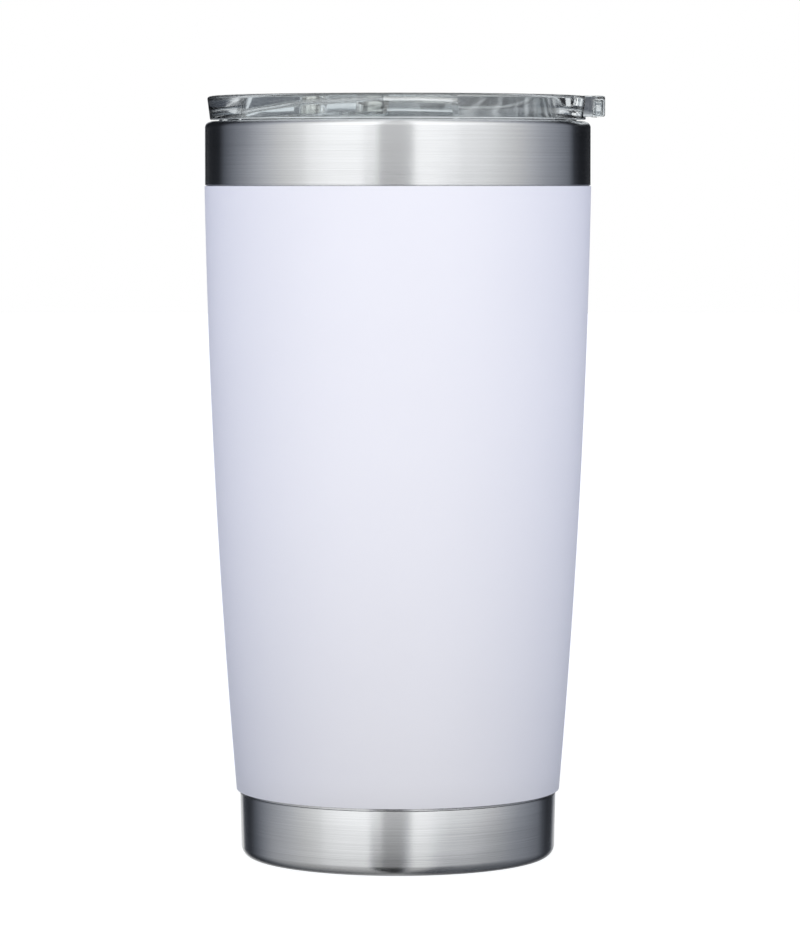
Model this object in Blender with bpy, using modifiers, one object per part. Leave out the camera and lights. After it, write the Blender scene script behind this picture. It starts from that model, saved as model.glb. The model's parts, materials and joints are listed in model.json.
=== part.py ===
"""Insulated steel tumbler with a clear press-in lid and a magnetic slider.

The cup is a double-walled vacuum vessel: an outer wall and a base cup on the outside, a liner on the
inside, and a copper heat shield, a getter and a vacuum port between them. The lid is a clear moulding
with a silicone gasket. Its slider runs between two rails, covers the sip opening, and is held at both
ends of its travel by magnets under the deck.

Units are metres, +Z is up, and the origin is on the cup's axis at the level of its foot.
The lid's lift tab points along +X, and the sip opening is on the -X side.
"""

import math

import bmesh
import bpy
from mathutils import Matrix, Vector

MM = 0.001

# Driving dimensions of the cup.
CUP_HEIGHT = 170.0 * MM  # foot to the crest of the lip
BAND_RADIUS = 44.45 * MM  # bare steel band under the lip
COAT_TOP = 155.2 * MM
COAT_BOTTOM = 15.6 * MM
COAT_TOP_RADIUS = 44.55 * MM
COAT_BOTTOM_RADIUS = 37.45 * MM
COAT_BULGE = 1.18 * MM  # how far the side swells beyond a straight taper
COAT_THICKNESS = 0.25 * MM
STEEL = 0.5 * MM  # sheet thickness of both walls
SKIN_GAP = 0.15 * MM  # between the coating and the wall that it covers
SEAM = 0.3 * MM  # between pieces that are welded or rest on each other

# Double wall.
WALL_INSET = COAT_THICKNESS + SKIN_GAP  # coating's surface to the outer wall's surface
LINER_INSET = 5.9 * MM  # coating's surface to the liner's inner surface
MOUTH_RADIUS = 41.65 * MM  # inside of the liner where the lid sits
MOUTH_BOTTOM = 157.5 * MM
SHOULDER_BOTTOM = 151.5 * MM  # where the liner has narrowed from the mouth
LIP_RADIUS = 1.4 * MM  # roll of both walls at the lip
LIP_WELD = 7.0  # degrees that each wall stops short of the lip's crest, where they are welded
LINER_JOINT = 20.0 * MM  # weld between the liner's wall and its bottom
LINER_FLOOR = 10.0 * MM
LINER_CORNER = 7.0 * MM

# Base.
BASE_TOP_RADIUS = 36.65 * MM
BASE_RADIUS = 36.35 * MM
BASE_TOP = 15.0 * MM
BASE_SHEET = 0.6 * MM
BASE_CORNER = 2.5 * MM
SPIGOT_TOP = 17.6 * MM  # the base cup's neck inside the outer wall
FOOT_WIDTH = 2.4 * MM
PANEL_LEVEL = 0.7 * MM  # underside of the cover disc
PANEL_THICKNESS = 0.5 * MM
PANEL_RADIUS = 30.4 * MM
PANEL_EDGE = 0.15 * MM
RECESS_RADIUS = 30.9 * MM
PORT_RADIUS = 0.9 * MM  # vacuum port in the middle of the base
DIMPLE_RADIUS = 5.0 * MM
DIMPLE_DEPTH = 1.4 * MM
DIMPLE_DRAFT = 1.1 * MM  # the dimple narrows by this much as it rises
BEAD_RIM = 0.4 * MM
BEAD_CROWN = 0.7 * MM

# Heat shield and getter, in the vacuum.
SHIELD_THICKNESS = 0.25 * MM
SHIELD_TOP = 146.0 * MM
SHIELD_BOTTOM = 22.0 * MM
GETTER_OFFSET = 15.0 * MM
GETTER_RADIUS = 4.0 * MM
GETTER_HEIGHT = 2.4 * MM
STRAP_WIDTH = 5.0 * MM
STRAP_LENGTH = 20.0 * MM
STRAP_THICKNESS = 0.4 * MM

# Lid.
LID_TOP = 175.8 * MM
FLANGE_BOTTOM = CUP_HEIGHT + SEAM
FLANGE_RADIUS = 43.9 * MM
FLANGE_FOOT_RADIUS = 43.3 * MM  # the flange's edge is drafted inwards
FLANGE_EDGE = 0.7 * MM
RIM_INNER_RADIUS = 39.6 * MM  # inner edge of the flange's flat top
DECK_RADIUS = 38.2 * MM
DECK_LEVEL = 167.6 * MM
DECK_THICKNESS = 2.0 * MM
SKIRT_RADIUS = 41.2 * MM
SKIRT_INNER_RADIUS = 37.8 * MM
SKIRT_BOTTOM = 159.5 * MM
SKIRT_LEAD_IN = 0.8 * MM
SKIRT_DRAFT = 0.4 * MM
DECK_FILLET = 0.8 * MM
WELL_CHAMFER = 0.6 * MM  # where the well meets the flange's flat top
GROOVE_BOTTOM = 163.0 * MM
GROOVE_TOP = 166.5 * MM
GROOVE_RADIUS = 39.4 * MM
GASKET_WAIST = 40.7 * MM  # between the gasket's two lips
GASKET_LIP = 0.4 * MM
GASKET_CHAMFER = 0.3 * MM
TAB_ROOT = 41.0 * MM  # inside the flange
TAB_REACH = 47.5 * MM  # lid's axis to the end of the lift tab
TAB_WIDTH = 19.0 * MM
TAB_BOTTOM = 171.0 * MM
TAB_CORNER = 3.5 * MM
TAB_POCKET_START = 44.4 * MM
TAB_POCKET_END = 46.0 * MM
TAB_POCKET_WIDTH = 11.0 * MM
TAB_POCKET_TOP = 175.0 * MM
SIP_CENTRE = -29.75 * MM
SIP_LENGTH = 6.5 * MM
SIP_WIDTH = 17.0 * MM
SIP_CORNER = 3.0 * MM
VENT_CENTRE = 28.0 * MM
VENT_RADIUS = 1.5 * MM

# Slider and its rails. Heights are above the deck.
TRACK_CLEARANCE = 0.3 * MM
SLIDER_FRONT = -36.0 * MM
SLIDER_LENGTH = 34.0 * MM
SLIDER_TRAVEL = 14.0 * MM
PLATE_WIDTH = 23.2 * MM  # across the tongues that run under the rails
PLATE_TOP = 1.6 * MM
SHELL_WIDTH = 20.8 * MM
SHELL_BOTTOM = PLATE_TOP + SEAM
SHELL_TOP = 6.2 * MM
SHELL_STEP = 1.2 * MM  # the shell is this much shorter than the plate at each end
SLIDER_CORNER = 3.0 * MM
SHELL_EDGE = 0.7 * MM
GRIP_COUNT = 3
GRIP_PITCH = 2.6 * MM
GRIP_TOP = 7.1 * MM
GRIP_DEPTH = 1.2 * MM
GRIP_WIDTH = 13.0 * MM
GRIP_START = 4.5 * MM  # shell's end to the first rib
RAIL_LIP_BOTTOM = 1.95 * MM
RAIL_TOP = 3.1 * MM
RAIL_WALL = 1.4 * MM
RAIL_START = -34.4 * MM
TRACK_END = SLIDER_FRONT + SLIDER_LENGTH + SLIDER_TRAVEL + TRACK_CLEARANCE
SEAL_LENGTH = 9.4 * MM
SEAL_WIDTH = 19.8 * MM
SEAL_THICKNESS = 0.7 * MM
SEAL_CORNER = 2.6 * MM

# Magnets. Those in the slider stand over those in the lid at both ends of the travel.
MAGNET_RADIUS = 3.5 * MM
MAGNET_HEIGHT = 2.0 * MM
MAGNET_EDGE = 0.25 * MM
MAGNET_POCKET_RADIUS = 3.8 * MM
FIRST_MAGNET = -20.0 * MM
MAGNET_PITCH = SLIDER_TRAVEL
BOSS_MARGIN = 5.0 * MM  # centre of an end magnet to the end of the boss
BOSS_WIDTH = 11.0 * MM
BOSS_BOTTOM = DECK_LEVEL - DECK_THICKNESS - 3.0 * MM
COVER_THICKNESS = 0.8 * MM
COVER_CORNER = 1.5 * MM

ROUND_STEPS = 40  # sides of every large turned piece
SMALL_STEPS = 20  # sides of every small turned piece
SIDE_SPANS = 5  # along the curved side of the cup
MERGE = 0.01 * MM
OVERLAP = 0.5 * MM  # how far joined shapes run into each other
SHARP_ANGLE = math.radians(35)


# ---------------------------------------------------------------- scene and materials


def clear_scene():
    for obj in list(bpy.data.objects):
        bpy.data.objects.remove(obj)


def new_collection(name, hidden=False):
    collection = bpy.data.collections.new(name)
    bpy.context.scene.collection.children.link(collection)
    collection.hide_render = hidden
    return collection


def new_material(name, colour, roughness, metallic=0.0, alpha=1.0):
    material = bpy.data.materials.new(name)
    material.use_nodes = True
    shader = material.node_tree.nodes["Principled BSDF"]
    shader.inputs["Base Color"].default_value = (*colour, 1.0)
    shader.inputs["Roughness"].default_value = roughness
    shader.inputs["Metallic"].default_value = metallic
    shader.inputs["Alpha"].default_value = alpha
    return material


def add_object(name, mesh, collection, material=None):
    obj = bpy.data.objects.new(name, mesh)
    collection.objects.link(obj)
    if material:
        mesh.materials.append(material)
    return obj


# ---------------------------------------------------------------- outlines


def arc(centre, radius, start, end, spans):
    """Points of an arc in the (r, z) plane, from the start angle to the end angle in degrees."""
    angles = [math.radians(start + (end - start) * i / spans) for i in range(spans + 1)]
    return [(centre[0] + radius * math.cos(a), centre[1] + radius * math.sin(a)) for a in angles]


def coat_radius(z):
    """Outer radius of the coated side, which also leads every wall inside it."""
    share = (z - COAT_BOTTOM) / (COAT_TOP - COAT_BOTTOM)
    taper = COAT_BOTTOM_RADIUS + (COAT_TOP_RADIUS - COAT_BOTTOM_RADIUS) * share
    return taper + 4 * COAT_BULGE * share * (1 - share)


def side(inset, bottom, top, spans=SIDE_SPANS):
    """Points up the cup's side, set in from the coating's surface."""
    levels = [bottom + (top - bottom) * i / spans for i in range(spans + 1)]
    return [(coat_radius(z) - inset, z) for z in levels]


# ---------------------------------------------------------------- modelling helpers


def turned(name, outline, collection, material=None, steps=ROUND_STEPS):
    """A solid of revolution from an outline in (r, z) that runs down its outer side.

    An outline whose ends are both on the axis stays open, and any other is closed into a ring.
    """
    on_axis = outline[0][0] == 0.0 and outline[-1][0] == 0.0
    edges = [(i, i + 1) for i in range(len(outline) - 1)]
    if not on_axis:
        edges.append((len(outline) - 1, 0))
    mesh = bpy.data.meshes.new(name)
    mesh.from_pydata([(r, 0.0, z) for r, z in outline], edges, [])
    obj = add_object(name, mesh, collection, material)
    screw = obj.modifiers.new("Turn", "SCREW")
    screw.steps = steps
    screw.render_steps = steps
    screw.use_merge_vertices = True
    screw.merge_threshold = MERGE
    return obj


def block(name, low, high, collection, material=None, corner=0.0, spans=3):
    """A box between two corners, with its four upright edges rounded."""
    bm = bmesh.new()
    bmesh.ops.create_cube(bm, size=1.0)
    size = Vector(high) - Vector(low)
    middle = (Vector(high) + Vector(low)) / 2
    bmesh.ops.transform(bm, matrix=Matrix.Diagonal((*size, 1.0)), verts=bm.verts)
    bmesh.ops.translate(bm, vec=middle, verts=bm.verts)
    if corner:
        upright = [e for e in bm.edges if abs(e.verts[0].co.z - e.verts[1].co.z) > size.z / 2]
        bmesh.ops.bevel(bm, geom=upright, offset=corner, segments=spans, profile=0.5, affect="EDGES")
    mesh = bpy.data.meshes.new(name)
    bm.to_mesh(mesh)
    bm.free()
    if corner:
        mesh.shade_smooth()
        mesh.set_sharp_from_angle(angle=SHARP_ANGLE)
    return add_object(name, mesh, collection, material)


def disc(name, centre, radius, bottom, top, collection, material=None, edge=0.0):
    """A round plate whose centre is at (x, 0), with both rims chamfered if an edge is given."""
    upper, lower = [(radius, top)], [(radius, bottom)]
    if edge:
        upper = [(radius - edge, top), (radius, top - edge)]
        lower = [(radius, bottom + edge), (radius - edge, bottom)]
    outline = [(0.0, top), *upper, *lower, (0.0, bottom)]
    plate = turned(name, outline, collection, material, SMALL_STEPS)
    plate.location = (centre, 0.0, 0.0)
    plate.rotation_euler = (0.0, 0.0, math.pi / SMALL_STEPS)  # keeps its corners off the lid's seams
    return plate


def boolean(target, tool, operation):
    modifier = target.modifiers.new(tool.name, "BOOLEAN")
    modifier.operation = operation
    modifier.object = tool
    modifier.solver = "EXACT"
    tool.hide_render = True
    tool.display_type = "WIRE"


def join(target, *tools):
    for tool in tools:
        boolean(target, tool, "UNION")


def cut(target, *tools):
    for tool in tools:
        boolean(target, tool, "DIFFERENCE")


# ---------------------------------------------------------------- cup


def make_outer_wall(parts, steel):
    """The outer tube: a bare band below the lip, and a side that is set in under the coating."""
    crest = (BAND_RADIUS - LIP_RADIUS, CUP_HEIGHT - LIP_RADIUS)
    step = COAT_TOP + SKIN_GAP
    inside = BAND_RADIUS - STEEL
    outline = arc(crest, LIP_RADIUS, 90 - LIP_WELD, 0, 3)
    outline += [(BAND_RADIUS, step), (coat_radius(step) - WALL_INSET, step)]
    outline += side(WALL_INSET, BASE_TOP + SEAM, COAT_TOP - STEEL)[::-1]
    outline += side(WALL_INSET + STEEL, BASE_TOP + SEAM, COAT_TOP - 2 * STEEL)
    outline += [(inside, step + STEEL)]
    outline += arc(crest, LIP_RADIUS - STEEL, 0, 90 - LIP_WELD, 3)
    turned("outer_wall", outline, parts, steel)


def make_powder_coat(parts, paint):
    outline = side(0.0, COAT_BOTTOM, COAT_TOP)[::-1]
    outline += side(COAT_THICKNESS, COAT_BOTTOM, COAT_TOP)
    turned("powder_coat", outline, parts, paint)


def make_base_cup(parts, steel):
    """The pressed bottom: a neck inside the outer wall, the bare band, the foot and the port's dimple."""
    neck = coat_radius(BASE_TOP) - WALL_INSET - STEEL - SKIN_GAP
    corner = (BASE_RADIUS - BASE_CORNER, BASE_CORNER)
    foot_inner = BASE_RADIUS - BASE_CORNER - FOOT_WIDTH
    recess = PANEL_LEVEL + PANEL_THICKNESS + SKIN_GAP
    dimple = recess + DIMPLE_DEPTH
    outline = [(neck, SPIGOT_TOP), (neck, BASE_TOP), (BASE_TOP_RADIUS, BASE_TOP)]
    outline += arc(corner, BASE_CORNER, 0, -90, 4)
    outline += [(foot_inner, 0.0), (RECESS_RADIUS, recess), (DIMPLE_RADIUS, recess)]
    outline += [(DIMPLE_RADIUS - DIMPLE_DRAFT, dimple), (PORT_RADIUS, dimple)]
    outline += [(PORT_RADIUS, dimple + BASE_SHEET), (DIMPLE_RADIUS - DIMPLE_DRAFT, dimple + BASE_SHEET)]
    outline += [(DIMPLE_RADIUS, recess + BASE_SHEET), (RECESS_RADIUS, recess + BASE_SHEET)]
    outline += [(foot_inner, BASE_SHEET)]
    outline += arc(corner, BASE_CORNER - BASE_SHEET, -90, 0, 3)
    outline += [(BASE_TOP_RADIUS - BASE_SHEET, BASE_TOP - 2 * BASE_SHEET)]
    outline += [(neck - BASE_SHEET, BASE_TOP - BASE_SHEET), (neck - BASE_SHEET, SPIGOT_TOP)]
    turned("base_cup", outline, parts, steel)


def make_base_disc(parts, steel):
    """The cover disc in the recess under the base, which hides the vacuum port."""
    top = PANEL_LEVEL + PANEL_THICKNESS
    outline = [(0.0, top), (PANEL_RADIUS, top), (PANEL_RADIUS, PANEL_LEVEL + PANEL_EDGE)]
    outline += [(PANEL_RADIUS - PANEL_EDGE, PANEL_LEVEL), (0.0, PANEL_LEVEL)]
    turned("base_disc", outline, parts, steel)


def make_vacuum_seal(parts, glass):
    """The bead that closes the vacuum port: a button in the dimple with a stem in the port."""
    dimple = PANEL_LEVEL + PANEL_THICKNESS + SKIN_GAP + DIMPLE_DEPTH
    stem = PORT_RADIUS - SKIN_GAP
    head = DIMPLE_RADIUS - DIMPLE_DRAFT - 2 * SEAM
    top = dimple - SKIN_GAP
    crown = top - BEAD_RIM - BEAD_CROWN
    outline = [(0.0, dimple + BASE_SHEET), (stem, dimple + BASE_SHEET), (stem, top), (head, top)]
    outline += [(head, top - BEAD_RIM), (head * 0.6, crown), (0.0, crown)]
    turned("vacuum_seal", outline, parts, glass, SMALL_STEPS)


def make_liner_wall(parts, steel):
    """The liner's tube: a straight mouth for the lid, a shoulder, and a tapered side."""
    roll = (MOUTH_RADIUS + LIP_RADIUS, CUP_HEIGHT - LIP_RADIUS)
    outline = arc(roll, LIP_RADIUS - STEEL, 90 + LIP_WELD, 180, 3)
    outline += [(MOUTH_RADIUS + STEEL, MOUTH_BOTTOM)]
    outline += side(LINER_INSET - STEEL, LINER_JOINT, SHOULDER_BOTTOM)[::-1]
    outline += side(LINER_INSET, LINER_JOINT, SHOULDER_BOTTOM)
    outline += [(MOUTH_RADIUS, MOUTH_BOTTOM)]
    outline += arc(roll, LIP_RADIUS, 180, 90 + LIP_WELD, 3)
    turned("liner_wall", outline, parts, steel)


def make_liner_bottom(parts, steel):
    """The liner's dished floor, welded to its wall."""
    top = LINER_JOINT - SEAM
    inner = coat_radius(top) - LINER_INSET
    corner = (inner - LINER_CORNER, LINER_FLOOR + LINER_CORNER)
    outline = [(0.0, LINER_FLOOR)]
    outline += arc(corner, LINER_CORNER, -90, 0, 4)
    outline += [(inner, top), (inner + STEEL, top)]
    outline += arc(corner, LINER_CORNER + STEEL, 0, -90, 4)
    outline += [(0.0, LINER_FLOOR - STEEL)]
    turned("liner_bottom", outline, parts, steel)


def make_heat_shield(parts, copper):
    """Copper foil round the liner, and a disc of it under the liner's floor."""
    inner = LINER_INSET - STEEL - SEAM
    outline = side(inner - SHIELD_THICKNESS, SHIELD_BOTTOM, SHIELD_TOP, 3)[::-1]
    outline += side(inner, SHIELD_BOTTOM, SHIELD_TOP, 3)
    turned("copper_shield", outline, parts, copper)
    top = LINER_FLOOR - STEEL - SEAM
    edge = coat_radius(LINER_JOINT) - LINER_INSET - LINER_CORNER
    disc("copper_disc", 0.0, edge, top - SHIELD_THICKNESS, top, parts, copper)


def make_getter(parts, alloy, steel):
    """The getter pellet, and the strap over it that is welded to the base cup's floor."""
    floor = PANEL_LEVEL + PANEL_THICKNESS + 2 * SKIN_GAP + BASE_SHEET
    top = floor + GETTER_HEIGHT
    disc("getter_pellet", GETTER_OFFSET, GETTER_RADIUS, floor, top, parts, alloy, MAGNET_EDGE)

    half, span = STRAP_WIDTH / 2, STRAP_LENGTH / 2
    inner = GETTER_RADIUS + SEAM
    outer = inner + STRAP_THICKNESS
    arch = top + SKIN_GAP
    low = (GETTER_OFFSET - half, -span, floor)
    strap = block("getter_strap", low, (GETTER_OFFSET + half, span, arch + STRAP_THICKNESS), parts, steel)
    for name, start, end in (("strap_left", -span - OVERLAP, -outer), ("strap_right", outer, span + OVERLAP)):
        trim = (GETTER_OFFSET - half - OVERLAP, start, floor + STRAP_THICKNESS)
        high = (GETTER_OFFSET + half + OVERLAP, end, arch + 2 * STRAP_THICKNESS)
        cut(strap, block(name, trim, high, TOOLS))
    tunnel = (GETTER_OFFSET - half - OVERLAP, -inner, floor - OVERLAP)
    cut(strap, block("strap_tunnel", tunnel, (GETTER_OFFSET + half + OVERLAP, inner, arch), TOOLS))


# ---------------------------------------------------------------- lid


def make_lid_gasket(parts, silicone):
    """The silicone ring in the skirt's groove, with two lips that wipe the liner."""
    inner = GROOVE_RADIUS + SKIN_GAP
    lip = MOUTH_RADIUS - SEAM
    low, high = GROOVE_BOTTOM + SEAM, GROOVE_TOP - SEAM
    upper, lower = high - GASKET_CHAMFER, low + GASKET_CHAMFER
    outline = [(inner, high), (GASKET_WAIST, high), (lip, upper), (lip, upper - GASKET_LIP)]
    outline += [(GASKET_WAIST, (low + high) / 2), (lip, lower + GASKET_LIP), (lip, lower)]
    outline += [(GASKET_WAIST, low), (inner, low)]
    turned("lid_gasket", outline, parts, silicone)


def lid_outline():
    """The lid's section: raised flange, sunken deck, and a skirt with the gasket's groove."""
    deck_under = DECK_LEVEL - DECK_THICKNESS
    edge = (FLANGE_RADIUS - FLANGE_EDGE, LID_TOP - FLANGE_EDGE)
    outline = [(0.0, DECK_LEVEL), (DECK_RADIUS - DECK_FILLET, DECK_LEVEL)]
    outline += [(DECK_RADIUS, DECK_LEVEL + DECK_FILLET)]
    outline += [(RIM_INNER_RADIUS - WELL_CHAMFER, LID_TOP - WELL_CHAMFER), (RIM_INNER_RADIUS, LID_TOP)]
    outline += arc(edge, FLANGE_EDGE, 90, 0, 3)
    outline += [(FLANGE_FOOT_RADIUS, FLANGE_BOTTOM), (SKIRT_RADIUS, FLANGE_BOTTOM)]
    outline += [(SKIRT_RADIUS, GROOVE_TOP), (GROOVE_RADIUS, GROOVE_TOP)]
    outline += [(GROOVE_RADIUS, GROOVE_BOTTOM), (SKIRT_RADIUS, GROOVE_BOTTOM)]
    outline += [(SKIRT_RADIUS, SKIRT_BOTTOM + SKIRT_LEAD_IN)]
    outline += [(SKIRT_RADIUS - SKIRT_LEAD_IN, SKIRT_BOTTOM)]
    outline += [(SKIRT_INNER_RADIUS, SKIRT_BOTTOM), (SKIRT_INNER_RADIUS - SKIRT_DRAFT, deck_under)]
    outline += [(0.0, deck_under)]
    return outline


def rail(name, direction):
    """One L-shaped rail: a wall beside the slider's tongue and a lip over it."""
    wall = PLATE_WIDTH / 2 + TRACK_CLEARANCE
    lip = SHELL_WIDTH / 2 + TRACK_CLEARANCE
    near, far = sorted((direction * lip, direction * (wall + RAIL_WALL)))
    low = (RAIL_START, near, DECK_LEVEL - OVERLAP)
    whole = block(name, low, (TRACK_END + RAIL_WALL, far, DECK_LEVEL + RAIL_TOP), TOOLS)
    near, far = sorted((direction * (lip - OVERLAP), direction * wall))
    low = (RAIL_START - OVERLAP, near, DECK_LEVEL - 2 * OVERLAP)
    cut(whole, block(name + "_groove", low, (TRACK_END, far, DECK_LEVEL + RAIL_LIP_BOTTOM), TOOLS))
    return whole


def track_stop():
    """The low bar that joins the rails and ends the slider's travel."""
    half = PLATE_WIDTH / 2 + TRACK_CLEARANCE + RAIL_WALL / 2
    low = (TRACK_END, -half, DECK_LEVEL - OVERLAP)
    high = (TRACK_END + RAIL_WALL, half, DECK_LEVEL + RAIL_TOP - OVERLAP)
    return block("track_stop", low, high, TOOLS)


def magnet_boss():
    """The thick block under the deck that holds the lid's magnets."""
    low = (FIRST_MAGNET - BOSS_MARGIN, -BOSS_WIDTH / 2, BOSS_BOTTOM)
    end = FIRST_MAGNET + 2 * MAGNET_PITCH + BOSS_MARGIN
    high = (end, BOSS_WIDTH / 2, DECK_LEVEL - DECK_THICKNESS + OVERLAP)
    return block("magnet_boss", low, high, TOOLS)


def round_tab(tab):
    """Rounds the tab's two outer upright edges, then eases its top edge."""
    bm = bmesh.new()
    bm.from_mesh(tab.data)
    outer = [e for e in bm.edges if all(v.co.x > TAB_REACH - MERGE for v in e.verts)]
    upright = [e for e in outer if abs(e.verts[0].co.y - e.verts[1].co.y) < MERGE]
    bmesh.ops.bevel(bm, geom=upright, offset=TAB_CORNER, segments=4, profile=0.5, affect="EDGES")
    top = [e for e in bm.edges if all(v.co.z > LID_TOP - MERGE for v in e.verts)]
    rim = [e for e in top if any(v.co.x > FLANGE_RADIUS for v in e.verts)]
    bmesh.ops.bevel(bm, geom=rim, offset=FLANGE_EDGE, segments=2, profile=0.5, affect="EDGES")
    bm.to_mesh(tab.data)
    bm.free()


def lift_tab():
    low = (TAB_ROOT, -TAB_WIDTH / 2, TAB_BOTTOM)
    tab = block("lift_tab", low, (TAB_REACH, TAB_WIDTH / 2, LID_TOP), TOOLS)
    round_tab(tab)
    return tab


def make_lid_body(parts, clear):
    lid = turned("lid_body", lid_outline(), parts, clear)
    join(lid, lift_tab(), rail("rail_left", 1), rail("rail_right", -1), track_stop(), magnet_boss())
    through = DECK_LEVEL - DECK_THICKNESS - 2 * OVERLAP
    over = DECK_LEVEL + OVERLAP
    half, wide = SIP_LENGTH / 2, SIP_WIDTH / 2
    low = (SIP_CENTRE - half, -wide, through)
    sip = block("sip_cutter", low, (SIP_CENTRE + half, wide, over), TOOLS, corner=SIP_CORNER)
    vent = disc("vent_cutter", VENT_CENTRE, VENT_RADIUS, through, over, TOOLS)
    low = (TAB_POCKET_START, -TAB_POCKET_WIDTH / 2, TAB_BOTTOM - OVERLAP)
    pocket = block("tab_pocket", low, (TAB_POCKET_END, TAB_POCKET_WIDTH / 2, TAB_POCKET_TOP), TOOLS)
    cut(lid, sip, vent, pocket)
    roof = BOSS_BOTTOM + MAGNET_HEIGHT + 2 * SEAM
    for i in range(3):
        x = FIRST_MAGNET + i * MAGNET_PITCH
        cut(lid, disc(f"boss_pocket_{i}", x, MAGNET_POCKET_RADIUS, BOSS_BOTTOM - OVERLAP, roof, TOOLS))


def make_lid_magnets(parts, nickel, clear):
    """Three magnets in the boss, and the cover that closes them in."""
    low = BOSS_BOTTOM + SEAM
    for i, place in enumerate(("front", "middle", "rear")):
        x = FIRST_MAGNET + i * MAGNET_PITCH
        name = "lid_magnet_" + place
        disc(name, x, MAGNET_RADIUS, low, low + MAGNET_HEIGHT, parts, nickel, MAGNET_EDGE)
    low = (FIRST_MAGNET - BOSS_MARGIN, -BOSS_WIDTH / 2, BOSS_BOTTOM - SEAM - COVER_THICKNESS)
    end = FIRST_MAGNET + 2 * MAGNET_PITCH + BOSS_MARGIN
    high = (end, BOSS_WIDTH / 2, BOSS_BOTTOM - SEAM)
    block("lid_magnet_cover", low, high, parts, clear, corner=COVER_CORNER)


# ---------------------------------------------------------------- slider


def make_slider_plate(parts, clear, silicone):
    """The slider's plate, whose edges run under the rails, and the seal in its underside."""
    under = DECK_LEVEL + TRACK_CLEARANCE
    low = (SLIDER_FRONT, -PLATE_WIDTH / 2, under)
    high = (SLIDER_FRONT + SLIDER_LENGTH, PLATE_WIDTH / 2, DECK_LEVEL + PLATE_TOP)
    plate = block("slider_plate", low, high, parts, clear, corner=SLIDER_CORNER)
    low = Vector((SIP_CENTRE - SEAL_LENGTH / 2, -SEAL_WIDTH / 2, under))
    high = Vector((SIP_CENTRE + SEAL_LENGTH / 2, SEAL_WIDTH / 2, under + SEAL_THICKNESS))
    block("slider_seal", low, high, parts, silicone, corner=SEAL_CORNER)
    room = Vector((SKIN_GAP, SKIN_GAP, SKIN_GAP))
    low -= room + Vector((0.0, 0.0, OVERLAP))
    cut(plate, block("seal_pocket", low, high + room, TOOLS, corner=SEAL_CORNER))


def make_slider_shell(parts, clear):
    """The slider's raised shell with its grip ribs, hollowed for the two magnets."""
    end = SLIDER_FRONT + SLIDER_LENGTH - SHELL_STEP
    low = (SLIDER_FRONT + SHELL_STEP, -SHELL_WIDTH / 2, DECK_LEVEL + SHELL_BOTTOM)
    top = DECK_LEVEL + SHELL_TOP
    shell = block("slider_shell", low, (end, SHELL_WIDTH / 2, top), parts, clear, corner=SLIDER_CORNER)
    bm = bmesh.new()
    bm.from_mesh(shell.data)
    rim = [e for e in bm.edges if all(v.co.z > top - MERGE for v in e.verts)]
    bmesh.ops.bevel(bm, geom=rim, offset=SHELL_EDGE, segments=2, profile=0.5, affect="EDGES")
    bm.to_mesh(shell.data)
    bm.free()
    for i in range(GRIP_COUNT):
        x = end - GRIP_START - i * GRIP_PITCH
        low = (x - GRIP_DEPTH / 2, -GRIP_WIDTH / 2, top - OVERLAP)
        high = (x + GRIP_DEPTH / 2, GRIP_WIDTH / 2, DECK_LEVEL + GRIP_TOP)
        join(shell, block(f"grip_{i}", low, high, TOOLS))
    bottom = DECK_LEVEL + SHELL_BOTTOM
    roof = bottom + MAGNET_HEIGHT + SEAM
    for i in range(2):
        x = FIRST_MAGNET + i * MAGNET_PITCH
        cut(shell, disc(f"shell_pocket_{i}", x, MAGNET_POCKET_RADIUS, bottom - OVERLAP, roof, TOOLS))


def make_slider_magnets(parts, nickel):
    low = DECK_LEVEL + SHELL_BOTTOM
    for i, place in enumerate(("front", "rear")):
        x = FIRST_MAGNET + i * MAGNET_PITCH
        name = "slider_magnet_" + place
        disc(name, x, MAGNET_RADIUS, low, low + MAGNET_HEIGHT, parts, nickel, MAGNET_EDGE)


# ---------------------------------------------------------------- build

clear_scene()
TOOLS = new_collection("cutters", hidden=True)


def main():
    parts = new_collection("insulated_tumbler")
    brushed = new_material("brushed_steel", (0.62, 0.63, 0.65), 0.3, 1.0)
    satin = new_material("satin_steel", (0.58, 0.59, 0.6), 0.38, 1.0)
    paint = new_material("white_powder_coat", (0.86, 0.87, 0.9), 0.55)
    copper = new_material("copper_foil", (0.72, 0.4, 0.27), 0.25, 1.0)
    alloy = new_material("getter_alloy", (0.3, 0.3, 0.32), 0.7, 0.6)
    glass = new_material("seal_glass", (0.25, 0.32, 0.28), 0.15)
    clear = new_material("clear_plastic", (0.9, 0.93, 0.94), 0.06, 0.0, 0.3)
    silicone = new_material("clear_silicone", (0.86, 0.88, 0.88), 0.5, 0.0, 0.75)
    nickel = new_material("nickel_plate", (0.66, 0.65, 0.62), 0.2, 1.0)

    make_outer_wall(parts, brushed)
    make_powder_coat(parts, paint)
    make_base_cup(parts, brushed)
    make_base_disc(parts, brushed)
    make_vacuum_seal(parts, glass)
    make_liner_wall(parts, satin)
    make_liner_bottom(parts, satin)
    make_heat_shield(parts, copper)
    make_getter(parts, alloy, brushed)
    make_lid_gasket(parts, silicone)
    make_lid_body(parts, clear)
    make_lid_magnets(parts, nickel, clear)
    make_slider_plate(parts, clear, silicone)
    make_slider_shell(parts, clear)
    make_slider_magnets(parts, nickel)


main()
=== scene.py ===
"""The looks of an insulated steel tumbler with a clear lid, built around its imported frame.

Every visible piece is modelled here at fine resolution: the turned steel and the powder coat of the cup,
and the lid's moulding, gasket, magnets and slider. Lengths are in metres, +Z is up, the origin is on the
cup's axis at the level of its foot, and the lid's lift tab points along +X.
"""

import json
import math
from contextlib import contextmanager

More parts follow.
